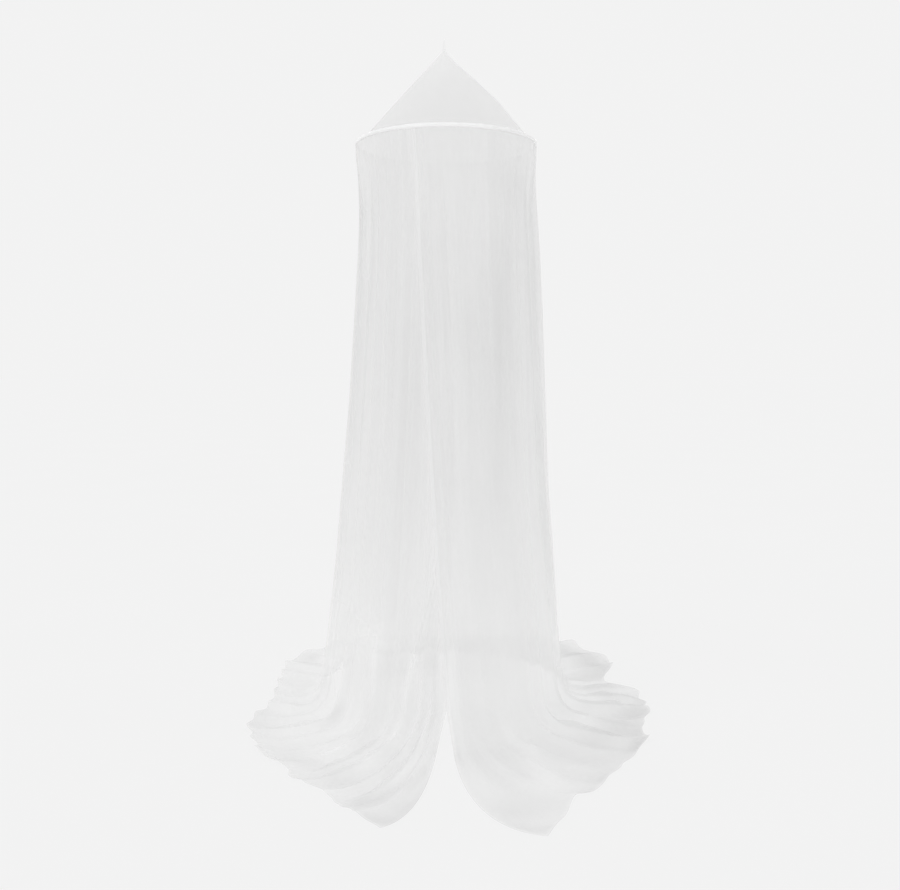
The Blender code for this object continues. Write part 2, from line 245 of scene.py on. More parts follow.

# Where the net looks denser, from layers of cloth, and darker with painted shade (above 0), or
# thinner and lighter with painted light (below 0): fold, length along the cloth from the hoop,
# half width in folds, half length, and how much
SHADE_AND_DENSITY_PATCHES = (
    # Hanging: the sides, the streaks beside the lap, and just over the foot
    (10.5, 0.90, 2.2, 1.00, -0.12),
    (9.8, 0.32, 1.1, 0.18, -0.20),
    (9.5, 1.45, 2.0, 0.20, -0.10),
    (29.0, 0.20, 1.2, 0.10, -0.05),
    (30.7, 0.15, 1.4, 0.10, 0.17),
    (34.0, 0.05, 3.2, 0.06, -0.18),
    (36.8, 0.18, 0.9, 0.08, -0.16),
    (28.5, 1.10, 2.0, 0.50, -0.20),
    (5.0, 1.00, 1.4, 0.40, 0.20),
    (7.0, 0.68, 1.5, 0.15, 0.07),
    (34.0, 0.48, 0.5, 0.08, -0.08),
    (32.4, 0.50, 0.8, 0.25, 0.10),
    (33.0, 0.65, 1.0, 0.20, 0.16),
    (32.3, 0.97, 2.4, 0.25, 0.13),
    (34.7, 1.02, 0.6, 0.15, 0.08),
    (30.9, 0.72, 1.0, 0.15, 0.10),
    (32.6, 1.25, 2.0, 0.15, 0.08),
    (30.8, 0.35, 1.4, 0.30, 0.17),
    (34.0, 1.62, 3.0, 0.06, 0.23),
    (36.3, 1.45, 0.6, 0.12, -0.18),
    (33.8, 0.65, 0.5, 0.12, 0.09),
    (1.8, 1.62, 0.5, 0.04, 0.20),
    (3.5, 1.64, 3.5, 0.06, 0.24),
    (2.4, 1.59, 0.5, 0.05, 0.20),
    (3.7, 1.66, 0.4, 0.04, -0.20),
    (3.5, 1.45, 1.0, 0.15, -0.12),
    (8.0, 1.58, 1.5, 0.08, -0.20),
    (6.5, 1.66, 2.0, 0.05, 0.16),
    (12.2, 1.66, 2.0, 0.13, -0.45),
    (28.0, 1.62, 2.2, 0.15, -0.38),
    (36.7, 1.68, 0.7, 0.12, -0.25),
    (35.3, 1.78, 0.8, 0.15, 0.08),
    # On the floor, left front
    (8.9, 1.84, 0.35, 0.06, 0.55),
    (8.8, 1.90, 0.4, 0.06, 0.20),
    (8.5, 1.71, 0.5, 0.05, 0.20),
    (9.4, 2.10, 0.7, 0.08, 0.22),
    (10.4, 2.06, 0.6, 0.06, 0.18),
    (10.5, 1.97, 1.0, 0.07, -0.10),
    (6.5, 1.82, 0.4, 0.12, 0.40),
    (6.3, 1.88, 0.4, 0.05, 0.28),
    (5.9, 1.95, 0.4, 0.05, 0.22),
    (0.3, 1.87, 0.4, 0.09, 0.28),
    (1.5, 1.78, 0.8, 0.10, 0.13),
    (4.0, 1.78, 3.5, 0.09, 0.19),
    (5.2, 2.07, 0.5, 0.05, -0.12),
    (4.0, 1.97, 0.4, 0.05, 0.20),
    (3.0, 2.03, 0.4, 0.05, 0.20),
    (2.6, 2.10, 0.4, 0.05, 0.20),
    (4.8, 2.15, 0.5, 0.05, 0.12),
    (6.1, 2.13, 0.5, 0.05, 0.28),
    (3.8, 2.19, 0.9, 0.07, 0.36),
    (2.7, 2.22, 0.5, 0.05, 0.08),
    (1.8, 2.29, 0.30, 0.05, 0.48),
    (2.0, 2.16, 0.35, 0.05, -0.12),
    (1.6, 2.22, 0.35, 0.05, 0.28),
    (1.1, 2.15, 0.6, 0.07, 0.35),
    (0.6, 2.06, 0.4, 0.05, 0.24),
    (0.7, 2.28, 0.5, 0.06, 0.25),
    (0.1, 2.27, 0.35, 0.12, 0.40),
    (0.6, 2.37, 0.6, 0.04, 0.40),
    (0.0, 2.13, 0.2, 0.06, 0.25),
    (6.8, 2.14, 1.2, 0.06, 0.18),
    (7.5, 1.92, 0.6, 0.05, -0.12),
    (4.5, 2.24, 0.5, 0.04, 0.16),
    # On the floor, right front
    (33.5, 1.95, 3.5, 0.22, 0.34),
    (33.2, 1.88, 0.4, 0.08, -0.12),
    (34.4, 1.76, 1.5, 0.12, 0.06),
    (36.8, 1.90, 0.4, 0.07, 0.30),
    (30.8, 1.90, 0.6, 0.06, -0.08),
    (29.9, 1.86, 0.5, 0.05, 0.20),
    (28.9, 1.93, 0.4, 0.04, 0.18),
    (29.8, 2.00, 0.4, 0.05, 0.14),
    (27.0, 1.96, 0.5, 0.05, 0.14),
    (31.3, 2.09, 0.5, 0.10, 0.50),
    (30.3, 2.06, 0.5, 0.06, 0.42),
    (30.5, 2.15, 0.4, 0.05, 0.50),
    (31.5, 2.20, 0.5, 0.05, 0.60),
    (33.0, 2.06, 1.0, 0.07, 0.14),
    (28.0, 2.00, 1.2, 0.06, 0.33),
    (28.5, 2.12, 1.1, 0.06, 0.55),
    (29.3, 2.06, 0.5, 0.06, 0.30),
    (29.0, 2.13, 0.5, 0.08, 0.18),
    (32.4, 2.13, 0.5, 0.05, 0.20),
    (33.2, 2.22, 1.2, 0.07, 0.26),
    (34.5, 2.11, 0.7, 0.06, 0.14),
    (34.2, 2.30, 0.4, 0.04, 0.35),
    (33.3, 2.26, 0.4, 0.03, 0.35),
    (35.6, 2.27, 0.6, 0.09, 0.26),
    (36.4, 2.30, 0.45, 0.08, 0.32),
    (36.8, 2.39, 0.25, 0.05, 0.30),
    (36.6, 2.45, 0.5, 0.04, 0.25),
    # On the floor, back
    (15.7, 2.06, 0.5, 0.06, 0.50),
    (16.5, 1.88, 1.2, 0.14, -0.80),
    (13.7, 1.77, 0.8, 0.05, -0.30),
    (16.2, 2.04, 0.5, 0.06, -0.30),
    (18.9, 2.10, 0.6, 0.07, -0.30),
    (19.8, 2.13, 0.5, 0.07, -0.40),
    (18.3, 2.08, 1.3, 0.12, -0.40),
    (21.9, 1.95, 0.9, 0.18, -0.70),
    (24.7, 2.08, 1.1, 0.08, 0.60),
    (23.1, 2.12, 0.5, 0.06, 0.48),
    (26.1, 1.75, 0.8, 0.05, -0.30),
    (25.6, 1.97, 0.5, 0.10, 0.40),
    (26.8, 2.14, 0.4, 0.06, -0.30),
)

# Cloth materials
NET_PITCH = 0.002
HOLE_SLOPE = 0.62
SIDE_HEM_ALPHA, BOTTOM_HEM_ALPHA, BOTTOM_HEM_SHARE = 0.55, 0.75, 0.3
MOST_ALPHA = 0.96
HEM_TONE = 0.93
TONE_SPREAD = 0.015
LIGHT_THROUGH = 0.50
GLOW_DEPTH = 0.02

# Floor and light
FLOOR_RADIUS = 60.0
FLOOR_GAP = 0.0005  # between the floor's surface and height 0
FLOOR_TONE = 0.891
FLOOR_DIFFUSE = 0.10  # the part of its tone that is lit; the rest is its own faint light
FLOOR_SPREAD = 0.003
SUN_STRENGTH = 0.30
SUN_SPREAD = 40.0
SUN_AIM = Vector((0.66, 0.42, -0.62)).normalized()
MOST_LAYERS = 24  # of cloth that light may pass through

# Camera
CAMERA_PLACE = (0.0131 + HOOP_SHIFT, -3.2328, 1.170 - HANG_HEIGHT)
CAMERA_TILT = 5.168  # degrees down from level
CAMERA_LENS, CAMERA_SENSOR = 38.14, 36.0  # millimetres


def smooth_step(values):
    """0 below 0, 1 above 1, and an even S between them."""
    clipped = np.clip(values, 0.0, 1.0)
    return clipped * clipped * (3.0 - 2.0 * clipped)


def curve_weights(places, count):
    """Row weights of the smooth curve through count points, read at these places."""
    weights = np.zeros((len(places), count))
    index = np.clip(places.astype(int), 0, count - 2)
    share = places - index
    shares = (
        -0.5 * share + share**2 - 0.5 * share**3,
        1.0 - 2.5 * share**2 + 1.5 * share**3,
        0.5 * share + 2.0 * share**2 - 1.5 * share**3,
        -0.5 * share**2 + 0.5 * share**3,
    )
    for step, weight in zip((-1, 0, 1, 2), shares):
        np.add.at(weights, (np.arange(len(places)), np.clip(index + step, 0, count - 1)), weight)
    return weights


def wander(rng, across, along, u, v):
    """A smooth random relief over the cloth, about 1 high, with this many bumps each way."""
    grid = rng.standard_normal((across, along))
    return curve_weights(u * (across - 1), across) @ grid @ curve_weights(v * (along - 1), along).T


def relief(rng, layers, u, v):
    """A smooth random relief over the cloth, the sum of its layers of bumps."""
    return sum(height * wander(rng, across, along, u, v) for height, across, along in layers)


def outward(azimuth):
    """Level unit vectors that point out from the axis at these azimuths."""
    angle = np.radians(azimuth)
    return np.stack((np.sin(angle), -np.cos(angle), np.zeros_like(angle)), axis=-1)


def edge_shares(foot_azimuth, spread):
    """How near the cloth is to the left panel's front edge, and to the right panel's: 1 at it."""
    left = 1.0 - smooth_step(-foot_azimuth / spread)
    right = 1.0 - smooth_step((foot_azimuth + 360.0) / spread)
    return left, right


def rounded_table(rows, column, places, steps):
    """A column of a table read at these places, as the mean over steps to both sides of each."""
    near = [np.interp(places + step, rows[:, 0], rows[:, column]) for step in steps]
    return np.mean(near, axis=0)


def side_radius(left, right, azimuth):
    """The radius at this azimuth of an outline with these radii at its left and right."""
    return 0.5 * (left + right) + 0.5 * (right - left) * np.sin(np.radians(azimuth))


def column_radius(height, azimuth):
    """Radius of the hanging net's crests."""
    at_top = smooth_step((height - SHARP_FROM) / SHARP_RISE)
    radii = []
    for column in (1, 2):
        rounded = rounded_table(COLUMN_ROWS, column, height, ROUNDING)
        sharp = np.interp(height, COLUMN_ROWS[:, 0], COLUMN_ROWS[:, column])
        radii.append(rounded * (1.0 - at_top) + sharp * at_top)
    return side_radius(*radii, azimuth)


def bump(values, middle, half_width):
    """1 at the middle, falling to 0 on both sides of it."""
    return np.exp(-(((values - middle) / half_width) ** 2))


def in_hem(distance, width, softness):
    """1 in a hem of this width, falling to 0 at its inner edge, over this share of the width."""
    return 1.0 - smooth_step((distance / width - 1.0) / softness + 0.5)


class Net:
    """The net as a grid, columns along its width by rows from the hoop down to the hem."""

    def __init__(self):
        self.rng = np.random.default_rng(11)
        self.places = np.linspace(0.0, LAST_FOLD, LAST_FOLD * COLUMNS_A_FOLD + 1)
        self.left_panel = (self.places < 0.5 * LAST_FOLD)[:, None]
        self.inside = smooth_step(np.minimum(self.places, LAST_FOLD - self.places) / EASE)[:, None]
        rows = curve_weights(self.places, len(FOLDS)) @ FOLDS
        self.foot_azimuth, self.hem_x, self.hem_y, self.hanging, self.floor = rows.T
        self.place_rows()
        drift = self.relief(FOLD_DRIFT) * self.inside
        self.crest = 0.5 + 0.5 * np.cos(math.tau * (self.places[:, None] + drift))
        ragged = self.relief(RAGGED_HEM)[:, -1] * self.inside[:, 0]
        scallop = np.minimum(HEM_SCALLOP, SCALLOP_SHARE * self.floor)
        self.scallop = scallop * (1.0 - self.crest[:, -1]) + ragged
        self.lay_troughs()
        above = smooth_step((self.height - SMOOTH_FROM + self.relief(RAGGED_TOP)) / SMOOTH_RISE)
        beside = smooth_step((np.abs(self.side) - SMOOTH_HALF_WIDTH) / SMOOTH_HALF_WIDTH)
        self.smooth_top = (1.0 - beside) * above
        self.creases = self.crease_relief() * self.inside

    def place_rows(self):
        """Heights of the hanging rows, and how far the others are along the bend or the floor."""
        down = np.linspace(0.0, 1.0, HANGING_ROWS)
        self.heights = NET_TOP - (NET_TOP - FOOT_BEND) * down**HOOP_CROWDING
        self.bend = np.linspace(0.0, 1.0, BEND_ROWS + 1)[1:]
        self.reach = 1.0 - (1.0 - np.linspace(0.0, 1.0, FLOOR_ROWS + 1)[1:]) ** HEM_CROWDING
        self.height = np.concatenate((self.heights, np.zeros(LYING_ROWS)))[None, :]
        row = np.arange(HANGING_ROWS + LYING_ROWS) - HANGING_ROWS + EARLY_ROWS
        self.on_floor = smooth_step(row / (BEND_ROWS + EARLY_ROWS))[None, :]

    def relief(self, layers):
        """A random relief over the whole net."""
        rows = np.linspace(0.0, 1.0, HANGING_ROWS + LYING_ROWS)
        return relief(self.rng, layers, self.places / LAST_FOLD, rows)

    def hanging_points(self, heights):
        """(points, outward, azimuths), each columns by heights, of the hanging troughs."""
        height = heights[None, :]
        left, right = edge_shares(self.foot_azimuth, LAP_TURN_SPREAD)
        turn = (LAP_LEFT_TURN * left + LAP_RIGHT_TURN * right)[:, None] * height / HOOP_HEIGHT
        left, right = edge_shares(self.foot_azimuth, SPLAY_SPREAD)
        splay = (SPLAY_LEFT * left + SPLAY_RIGHT * right)[:, None] * smooth_step(height / SPLAY_HEIGHT)
        azimuth = self.foot_azimuth[:, None] + turn + splay
        left, right = edge_shares(self.foot_azimuth, LAP_SPREAD)
        below_hoop = (LAP_OUTSET * right - LAP_INSET * left - self.hanging)[:, None]
        at_hoop = (-2.0 * CASING_RADIUS * left)[:, None]
        start = smooth_step((NET_TOP - height) / FOLD_START)
        level = np.broadcast_to(height, azimuth.shape)
        radius = column_radius(level, self.foot_azimuth[:, None])
        radius = radius + start * below_hoop + (1.0 - start) * at_hoop
        out = outward(azimuth)
        points = out * radius[..., None]
        points[..., 2] = height
        return points, out, azimuth

    def floor_points(self, shares):
        """(troughs on the floor from the foot (0) to the hem (1), their reach)."""
        foot, out, _ = self.hanging_points(np.zeros(1))
        foot, out = foot[:, 0], out[:, 0]
        hem = np.stack((self.hem_x, self.hem_y, np.zeros_like(self.hem_x)), axis=-1)
        foot[:, 2] = hem[:, 2] = FLOOR_LIFT
        reach = np.linalg.norm(hem - foot, axis=-1)
        hem = foot + (hem - foot) * (1.0 - self.scallop / reach)[:, None]
        knee = foot + out * KNEE_SHARE * reach[:, None]
        share = np.broadcast_to(shares, (len(reach), shares.shape[-1]))[..., None]
        curve = foot[:, None] * (1 - share) ** 2 + knee[:, None] * 2 * share * (1 - share)
        return curve + hem[:, None] * share**2, reach

    def lay_troughs(self):
        """The troughs from hoop to hem, the way their crests stand, and the length of cloth."""
        hanging, out_hanging, azimuth = self.hanging_points(self.heights)
        top, out, _ = self.hanging_points(np.array([FOOT_BEND]))
        foot, reach = self.floor_points(np.zeros(1))
        bend_share = (FOOT_BEND / (2.0 * KNEE_SHARE * reach))[:, None]
        toe, _ = self.floor_points(bend_share)
        t = self.bend[None, :, None]
        bend = top * (1 - t) ** 2 + foot * 2 * t * (1 - t) + toe * t**2
        floor, _ = self.floor_points(bend_share + (1.0 - bend_share) * self.reach[None, :])
        self.base = np.concatenate((hanging, bend, floor), axis=1)
        up = np.array((0.0, 0.0, 1.0))
        out_bend = out * np.cos(0.5 * math.pi * t) + up * np.sin(0.5 * math.pi * t)
        up_floor = np.broadcast_to(up, floor.shape)
        self.normal = np.concatenate((out_hanging, out_bend, up_floor), axis=1)
        down = np.linalg.norm(np.diff(self.base, axis=1), axis=-1)
        self.length = np.concatenate((np.zeros((len(down), 1)), np.cumsum(down, axis=1)), axis=1)
        azimuth = np.concatenate((azimuth, np.repeat(azimuth[:, -1:], LYING_ROWS, axis=1)), axis=1)
        self.side = (azimuth + 180.0) % 360.0 - 180.0

    def fold_depth(self):
        """Depth of the main folds along the cloth, slack where the front hangs smooth."""
        beside = smooth_step((np.abs(self.side[:, -1]) - FRONT_HALF_WIDTH) / FRONT_FADE)
        slack = 1.0 - FRONT_SLACK * (1.0 - beside)
        hanging, floor = (self.hanging * slack)[:, None], self.floor[:, None]
        start = smooth_step((NET_TOP - self.heights) / FOLD_START)[None, :]
        bend, reach = self.bend[None, :], self.reach[None, :]
        depths = (
            hanging * start,
            hanging * (1.0 - bend) + floor * bend,
            floor * (1.0 - (1.0 - HEM_DEPTH_SHARE) * reach),
        )
        uneven = np.clip(MEAN_DEPTH + self.relief(UNEVEN_DEPTH), LEAST_DEPTH, MOST_DEPTH)
        return np.concatenate(depths, axis=1) * uneven

    def fine_relief(self):
        """Gathers, tight under the casing and smooth at the top of the front, and floor crumples."""
        begin = smooth_step((NET_TOP - self.height) / PLEAT_START)
        high = smooth_step((self.height - PLEATS_FROM) / PLEATS_RISE)
        share = begin * (LOW_PLEATS + (1.0 - LOW_PLEATS) * high)
        share = share * (1.0 - TOP_CALM * self.smooth_top) * (1.0 - FLOOR_CALM * self.on_floor)
        pleats = self.relief(PLEATS) * share
        to_hem = self.length[:, -1:] - self.length
        share = self.on_floor**2 * np.clip(to_hem / HEM_CALM_REACH, LEAST_CRUMPLE, 1.0)
        at_right = smooth_step((self.places - RIGHT_FOLD) / RIGHT_FADE)[:, None]
        crumples = self.relief(CRUMPLES) * share * (1.0 - RIGHT_CALM * at_right)
        left, right = edge_shares(self.foot_azimuth, LAP_CALM_SPREAD)
        lapped = (1.0 - LAP_CALM * (left + right))[:, None]
        return (pleats + crumples) * lapped * self.inside

    def crease_relief(self):
        """Height of the listed creases."""
        heights = np.zeros_like(self.length)
        for start, end, top, bottom, half_width, height in CREASES:
            along = (self.length - top) / (bottom - top)
            middle = start + (end - start) * smooth_step(along)
            fade = smooth_step(along / CREASE_START) * smooth_step((CREASE_END - along) / CREASE_FADE)
            heights += height * bump(self.places[:, None], middle, half_width) * fade
        return heights

    def points(self):
        """The net's points, with the folds, the gathers and the creases on the troughs."""
        lift = self.fold_depth() * self.crest + self.fine_relief() + self.creases
        resting = SETTLE * (np.logaddexp(0.0, lift / SETTLE) - math.log(2.0))
        lift = lift * (1.0 - self.on_floor) + np.maximum(resting, 0.0) * self.on_floor
        points = self.base + self.normal * lift[..., None]
        points[..., 2] = np.maximum(points[..., 2], FLOOR_LIFT)
        return points

    def density(self):
        """How dense the cloth looks, which also sets its painted shade: 1 for a plain layer, less
        where it lies inside the lap.
        """
        streaks = np.tanh(self.relief(STREAKS)) * (1.0 - self.smooth_top) * (1.0 - self.on_floor)
        high = smooth_step((self.height - UPPER_FROM) / UPPER_RISE)
        density_and_shade = 1.0 + UPPER_DENSITY * high
        density_and_shade = density_and_shade + STREAK_DENSITY * streaks * (LOW_STREAKS + (1.0 - LOW_STREAKS) * high)
        # Patches of density that darken the grey as painted shade, or lighten it as painted light
        for place, length, half_width, half_length, amount in SHADE_AND_DENSITY_PATCHES:
            across = bump(self.places, place, half_width)[:, None]
            density_and_shade = density_and_shade + amount * across * bump(self.length, length, half_length)
        # Painted highlight on the creases' ridges, painted shade in their troughs
        density_and_shade = density_and_shade - CREASE_LIGHT_AND_SHADE * self.creases
        return np.maximum(density_and_shade * (1.0 - self.inner_thinning()), LEAST_DENSITY)

    def inner_thinning(self):
        """The share that the inner panel's density loses behind the outer panel."""
        outer_edge, own_edge = self.side[-1:], self.side[:1]
        behind = smooth_step((self.side - outer_edge) / INNER_EDGE + 0.5)
        behind = behind * self.left_panel * (1.0 - self.on_floor)
        near_edge = 1.0 - smooth_step((own_edge - self.side) / INNER_REACH)
        high = smooth_step((self.height - INNER_HIGH_FROM) / INNER_HIGH_RISE)
        return (INNER_LOW + (INNER_HIGH - INNER_LOW) * high) * behind * near_edge

    def hems(self, points):
        """Where the side hems and the bottom hem lie: 1 in them."""
        across = np.linalg.norm(np.diff(points, axis=0), axis=-1)
        start = np.zeros((1, across.shape[1]))
        from_left = np.concatenate((start, np.cumsum(across, axis=0)), axis=0)
        from_side = np.minimum(from_left, from_left[-1:] - from_left)
        hidden = smooth_step((self.height - INNER_HEM_TOP) / INNER_HEM_FADE) * self.left_panel
        faded = np.where(self.left_panel, LEFT_HEM_FADE, RIGHT_HEM_FADE)
        side = in_hem(from_side, SIDE_HEM, SIDE_HEM_SOFTNESS)
        side = side * (1.0 - hidden) * (1.0 - faded * self.on_floor)
        to_hem = self.length[:, -1:] - self.length
        return side, in_hem(to_hem, BOTTOM_HEM, BOTTOM_HEM_SOFTNESS)

    def cloth_places(self, points):
        """Metres across and down the cloth, which its weave follows."""
        steps = np.linalg.norm(np.diff(points[:, HANGING_ROWS // 2], axis=0), axis=-1)
        across = np.concatenate(([0.0], np.cumsum(steps)))
        return np.broadcast_to(across[:, None], self.length.shape), self.length


def grid_mesh(name, points, cloth, attributes, closed=False):
    """A mesh of quads over points given columns by rows, with cloth coordinates in metres."""
    columns, rows = points.shape[:2]
    index = np.arange(columns * rows).reshape(columns, rows)
    near, far = (index, np.roll(index, -1, axis=0)) if closed else (index[:-1], index[1:])
    quads = np.stack((near[:, :-1], near[:, 1:], far[:, 1:], far[:, :-1]), axis=-1).reshape(-1, 4)
    placed = points.reshape(-1, 3) + np.array((HOOP_SHIFT, 0.0, -HANG_HEIGHT))
    mesh = bpy.data.meshes.new(name)
    mesh.vertices.add(len(placed))
    mesh.vertices.foreach_set("co", placed.ravel())
    mesh.loops.add(quads.size)
    mesh.loops.foreach_set("vertex_index", quads.ravel())
    mesh.polygons.add(len(quads))
    mesh.polygons.foreach_set("loop_start", np.arange(0, quads.size, 4))
    mesh.update(calc_edges=True)
    mesh.validate()
    uv = np.stack((cloth[0].ravel(), cloth[1].ravel()), axis=-1)
    layer = mesh.uv_layers.new(name="Cloth")
    layer.uv.foreach_set("vector", uv[quads.ravel()].ravel())
    for key, values in attributes.items():
        made = mesh.attributes.new(key, "FLOAT", "POINT")
        made.data.foreach_set("value", values.ravel().astype(np.float32))
    mesh.shade_smooth()
    return mesh


def add_piece(name, mesh, material, node):
    """Adds a piece that rides with the canopy and stands for this CAD node."""
    piece = bpy.data.objects.new(name, mesh)
    bpy.context.scene.collection.objects.link(piece)
    piece.data.materials.append(material)
    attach(piece, "root")
    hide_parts(node)
    return piece


class Nodes:
    """Short calls for building a material's nodes."""

    def __init__(self, name):
        self.material = bpy.data.materials.new(name)
        self.material.use_nodes = True
        self.tree = self.material.node_tree
        self.tree.nodes.clear()
        self.output = self.tree.nodes.new("ShaderNodeOutputMaterial")

    def add(self, kind, inputs=(), **settings):
        """A node with these settings, and its inputs given as values or as sockets."""
        node = self.tree.nodes.new(kind)
        for key, value in settings.items():
            setattr(node, key, value)
        for key, value in dict(inputs).items():
            if isinstance(value, bpy.types.NodeSocket):
                self.tree.links.new(value, node.inputs[key])
            else:
                node.inputs[key].default_value = value
        return node

    def math(self, operation, *values):
        """The result of a Math node."""
        return self.add("ShaderNodeMath", enumerate(values), operation=operation).outputs[0]

    def point(self, key):
        """The value stored at the mesh's points under this name."""
        return self.add("ShaderNodeAttribute", attribute_name=key).outputs["Fac"]

    def ramp(self, value, low, high, first, last):
        """The value mapped from low..high to first..last, on a smooth curve."""
        inputs = {"Value": value, "From Min": low, "From Max": high, "To Min": first, "To Max": last}
        return self.add("ShaderNodeMapRange", inputs, interpolation_type="SMOOTHSTEP").outputs[0]

    def mix(self, share, first, second):
        """First at share 0, second at share 1."""
        return self.add("ShaderNodeMix", {0: share, 2: first, 3: second}, data_type="FLOAT").outputs[0]

    def grey(self, value):
        """A grey of this value."""
        return self.add("ShaderNodeCombineColor", {0: value, 1: value, 2: value}).outputs[0]

    def finish(self, shader):
        """The material, with this shader on its surface."""
        self.tree.links.new(shader, self.output.inputs["Surface"])
        return self.material


def diamond_weave(nodes, cloth, pitch):
    """The threads round diamond holes at this pitch: 1 on a thread, 0 in a hole."""
    parts = nodes.add("ShaderNodeSeparateXYZ", {0: cloth})
    waves = []
    for slope in (HOLE_SLOPE, -HOLE_SLOPE):
        slanted = nodes.math("MULTIPLY_ADD", parts.outputs[1], slope, parts.outputs[0])
        angle = nodes.math("MULTIPLY", slanted, math.pi / pitch)
        waves.append(nodes.math("ABSOLUTE", nodes.math("SINE", angle)))
    return nodes.ramp(nodes.math("MULTIPLY", *waves), 0.16, 0.42, 1.0, 0.0)


def net_alpha(nodes, thread, hole_alpha, thread_alpha):
    """How opaque the net is: by its threads and its density, and more in its hems."""
    weave = nodes.ramp(thread, 0.0, 1.0, hole_alpha, thread_alpha)
    weave = nodes.math("MULTIPLY", weave, nodes.point("density_and_shade"))
    bottom = nodes.math("MULTIPLY", nodes.point("bottom_hem"), BOTTOM_HEM_SHARE)
    hemmed = nodes.mix(bottom, weave, BOTTOM_HEM_ALPHA)
    hemmed = nodes.mix(nodes.point("side_hem"), hemmed, SIDE_HEM_ALPHA)
    return nodes.math("MINIMUM", hemmed, MOST_ALPHA)


def net_tint(nodes, cloth, tone):
    """A grey that varies a little from place to place, with painted shade where the cloth is dense and
    painted light where it is thin, white in the hems.
    """
    patch = nodes.add("ShaderNodeTexNoise", {"Vector": cloth, "Scale": 3.0, "Detail": 4.0})
    plain = nodes.ramp(patch.outputs["Fac"], 0.3, 0.7, tone - TONE_SPREAD, tone + TONE_SPREAD)
    # Painted shade: the grey darkens where the cloth is dense, and lightens as painted light where it
    # is thin
    shaded = nodes.math("SUBTRACT", plain, nodes.ramp(nodes.point("density_and_shade"), 0.4, 2.2, -0.09, 0.18))
    bottom = nodes.math("MULTIPLY", nodes.point("bottom_hem"), 0.5)
    hems = nodes.math("MAXIMUM", nodes.point("side_hem"), bottom)
    return nodes.grey(nodes.mix(hems, shaded, HEM_TONE))


def net_material(name, hole_alpha, thread_alpha, tone):
    """Sheer knitted net: diamond holes, denser where it is gathered, with white hems."""
    nodes = Nodes(name)
    cloth = nodes.add("ShaderNodeUVMap", uv_map="Cloth").outputs["UV"]
    thread = diamond_weave(nodes, cloth, NET_PITCH)
    alpha = net_alpha(nodes, thread, hole_alpha, thread_alpha)
    tint = net_tint(nodes, cloth, tone)
    threads = {"Strength": 0.2, "Distance": 0.0004, "Height": thread}
    normal = nodes.add("ShaderNodeBump", threads).outputs[0]
    body = nodes.add("ShaderNodeBsdfPrincipled", {
        "Base Color": tint,
        "Roughness": nodes.ramp(thread, 0.0, 1.0, 0.75, 0.9),
        "Normal": normal,
        "Sheen Weight": 0.15,
        "Sheen Roughness": 0.5,
    })
    through = nodes.add("ShaderNodeBsdfTranslucent", {"Color": tint, "Normal": normal})
    lit = {0: LIGHT_THROUGH, 1: body.outputs[0], 2: through.outputs[0]}
    opaque = nodes.add("ShaderNodeMixShader", lit)
    clear = nodes.add("ShaderNodeBsdfTransparent")
    sheer = {0: alpha, 1: clear.outputs[0], 2: opaque.outputs[0]}
    return nodes.finish(nodes.add("ShaderNodeMixShader", sheer).outputs[0])


def tape_material(name, tone, glow):
    """Plain woven tape with fine ribs across, a little uneven. By its glow, light that falls on
    one side shows on the other.
    """
    nodes = Nodes(name)
    cloth = nodes.add("ShaderNodeUVMap", uv_map="Cloth").outputs["UV"]
    weave = {"Vector": cloth, "Scale": 320.0, "Distortion": 0.6, "Detail": 1.0}
    ribs = nodes.add("ShaderNodeTexWave", weave, bands_direction="X")
    patch = nodes.add("ShaderNodeTexNoise", {"Vector": cloth, "Scale": 60.0, "Detail": 3.0})
    mixed = nodes.math("MULTIPLY_ADD", ribs.outputs["Fac"], 0.4, patch.outputs["Fac"])
    woven = nodes.ramp(mixed, 0.3, 1.1, tone - 0.04, tone + 0.02)
    bump = nodes.add("ShaderNodeBump", {"Strength": 0.4, "Distance": 0.0005, "Height": mixed})
    # The tape's colour, less the painted shade stored at its points
    body = nodes.add("ShaderNodeBsdfPrincipled", {
        "Base Color": nodes.grey(nodes.math("SUBTRACT", woven, nodes.point("painted_side_shade"))),
        "Roughness": nodes.ramp(patch.outputs["Fac"], 0.0, 1.0, 0.7, 0.9),
        "Subsurface Weight": glow,
        "Subsurface Radius": (1.0, 1.0, 1.0),
        "Subsurface Scale": GLOW_DEPTH,
        "Normal": bump.outputs[0],
    })
    return nodes.finish(body.outputs[0])


def hoop_material():
    """Smooth white plastic rod with faint drawing marks."""
    nodes = Nodes("hoop_plastic_fine")
    place = nodes.add("ShaderNodeTexCoord")
    grain = {"Vector": place.outputs["Object"], "Scale": 90.0, "Detail": 3.0}
    noise = nodes.add("ShaderNodeTexNoise", grain)
    tint = nodes.grey(nodes.ramp(noise.outputs["Fac"], 0.0, 1.0, 0.80, 0.88))
    rough = nodes.ramp(noise.outputs["Fac"], 0.0, 1.0, 0.35, 0.5)
    body = nodes.add("ShaderNodeBsdfPrincipled", {"Base Color": tint, "Roughness": rough})
    return nodes.finish(body.outputs[0])


def make_net(material):
    """The net as one fine sheet."""
    net = Net()
    points = net.points()
    side_hem, bottom_hem = net.hems(points)
    looks = {"side_hem": side_hem, "bottom_hem": bottom_hem, "density_and_shade": net.density()}
    mesh = grid_mesh("fine_net", points, net.cloth_places(points), looks)
    piece = add_piece("fine_net", mesh, material, "net")


def ring_relief(rng, layers, columns, rows):
    """A random relief over a closed ring, fading out at the seam so that it closes there."""
    from_seam = np.minimum(np.arange(columns), columns - np.arange(columns))
    ease = smooth_step(from_seam / SEAM_COLUMNS)[:, None]
    u, v = np.linspace(0.0, 1.0, columns), np.linspace(0.0, 1.0, rows)
    return relief(rng, layers, u, v) * ease


